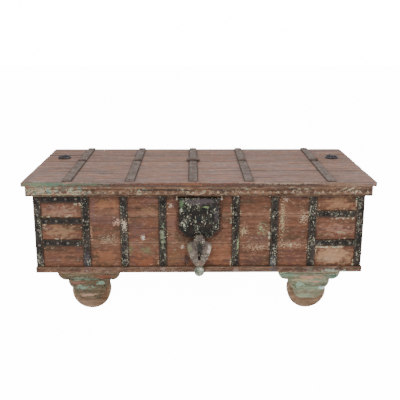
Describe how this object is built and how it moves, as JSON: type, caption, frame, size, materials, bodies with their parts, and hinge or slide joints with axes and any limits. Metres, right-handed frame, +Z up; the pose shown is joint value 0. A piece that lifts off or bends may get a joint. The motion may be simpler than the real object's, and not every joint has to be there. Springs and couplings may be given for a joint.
{
  "type": "wooden chest",
  "caption": "Low wooden trunk on small solid wheels, with iron straps, a strap-hinged lid over most of the top, a hanging hasp and ring pulls.",
  "frame": {"origin": "on the floor, under the middle of the trunk", "axes": "+Z up, -Y to the front where the hasp is, +X to the right as seen from the front"},
  "size_m": [1.15, 0.58, 0.4763],
  "materials": {
    "body_wood": "worn reddish-brown old teak",
    "rough_wood": "rough sawn old teak",
    "top_wood": "faded greyish-brown planks",
    "apron_wood": "carved skirt with remains of paint",
    "plinth_wood": "worn moulding",
    "bracket_wood": "old paint worn through to the wood",
    "wheel_wood": "worn tan wood",
    "strap_iron": "chipped black paint on forged iron",
    "hasp_iron": "chipped black and cream paint on sheet iron",
    "bare_iron": "dark forged iron",
    "knob_paint": "pale green worn paint"
  },
  "bodies": {
    "chest": {"axles": "bare_iron", "back_boards": "rough_wood", "bracket_back_left": "bracket_wood", "bracket_back_right": "bracket_wood", "bracket_front_left": "bracket_wood", "bracket_front_right": "bracket_wood", "corner_bands_left": "strap_iron", "corner_bands_right": "strap_iron", "corner_iron_front_left": "strap_iron", "corner_iron_front_right": "strap_iron", "corner_irons_back": "strap_iron", "end_boards_left": "rough_wood", "end_boards_right": "rough_wood", "end_straps": "strap_iron", "floor_boards": "rough_wood", "front_board_lower": "body_wood", "front_board_middle": "body_wood", "front_board_upper": "body_wood", "front_nails": "strap_iron", "front_straps_left": "strap_iron", "front_straps_right": "strap_iron", "hinge_pins": "bare_iron", "lock_board": "body_wood", "lock_eye": "bare_iron", "plinth_back": "plinth_wood", "plinth_ends": "plinth_wood", "plinth_front": "plinth_wood", "rear_apron_back": "apron_wood", "rear_apron_ends": "apron_wood", "rear_hinge_leaves": "strap_iron", "rear_nails": "strap_iron", "rear_plank_back": "top_wood", "rear_plank_front": "top_wood", "ring_staples": "bare_iron", "top_rail": "rough_wood"},
    "lid": {"lid_apron_front": "apron_wood", "lid_apron_left": "apron_wood", "lid_apron_right": "apron_wood", "lid_battens": "rough_wood", "lid_nails": "strap_iron", "lid_plank_front": "top_wood", "lid_plank_rear": "top_wood", "lid_strap_a": "strap_iron", "lid_strap_b": "strap_iron", "lid_strap_c": "strap_iron", "lid_strap_d": "strap_iron", "lid_strap_e": "strap_iron", "hasp_rod": "bare_iron", "hasp_eyes": "bare_iron"},
    "hasp_plate": {"hasp_plate": "hasp_iron", "hasp_pin": "bare_iron"},
    "hasp_leaf": {"hasp_leaf": "hasp_iron", "hasp_knob": "knob_paint"},
    "ring_left": {"ring_left": "bare_iron"},
    "ring_right": {"ring_right": "bare_iron"},
    "wheel_front_left": {"wheel_front_left": "wheel_wood"},
    "wheel_front_right": {"wheel_front_right": "wheel_wood"},
    "wheel_back_left": {"wheel_back_left": "wheel_wood"},
    "wheel_back_right": {"wheel_back_right": "wheel_wood"}
  },
  "joints": [
    {"name": "lid_hinge", "type": "hinge", "parent": "chest", "child": "lid", "pos_m": [0, 0.042, 0.4703], "axis": [-1, 0, 0], "range_deg": [0, 180]},
    {"name": "hasp_plate_swing", "type": "hinge", "parent": "lid", "child": "hasp_plate", "pos_m": [0, -0.268, 0.405], "axis": [-1, 0, 0], "range_deg": [0, 100]},
    {"name": "hasp_leaf_swing", "type": "hinge", "parent": "hasp_plate", "child": "hasp_leaf", "pos_m": [0, -0.2779, 0.279], "axis": [-1, 0, 0], "range_deg": [0, 100]},
    {"name": "ring_left_turn", "type": "hinge", "parent": "chest", "child": "ring_left", "pos_m": [-0.505, 0.122, 0.4672], "axis": [-1, 0, 0], "range_deg": [0, 180]},
    {"name": "ring_right_turn", "type": "hinge", "parent": "chest", "child": "ring_right", "pos_m": [0.505, 0.122, 0.4672], "axis": [-1, 0, 0], "range_deg": [0, 180]},
    {"name": "wheel_front_left_spin", "type": "hinge", "parent": "chest", "child": "wheel_front_left", "pos_m": [-0.372, -0.209, 0.066], "axis": [0, 1, 0], "continuous": true},
    {"name": "wheel_front_right_spin", "type": "hinge", "parent": "chest", "child": "wheel_front_right", "pos_m": [0.372, -0.209, 0.066], "axis": [0, 1, 0], "continuous": true},
    {"name": "wheel_back_left_spin", "type": "hinge", "parent": "chest", "child": "wheel_back_left", "pos_m": [-0.372, 0.209, 0.066], "axis": [0, 1, 0], "continuous": true},
    {"name": "wheel_back_right_spin", "type": "hinge", "parent": "chest", "child": "wheel_back_right", "pos_m": [0.372, 0.209, 0.066], "axis": [0, 1, 0], "continuous": true}
  ]
}
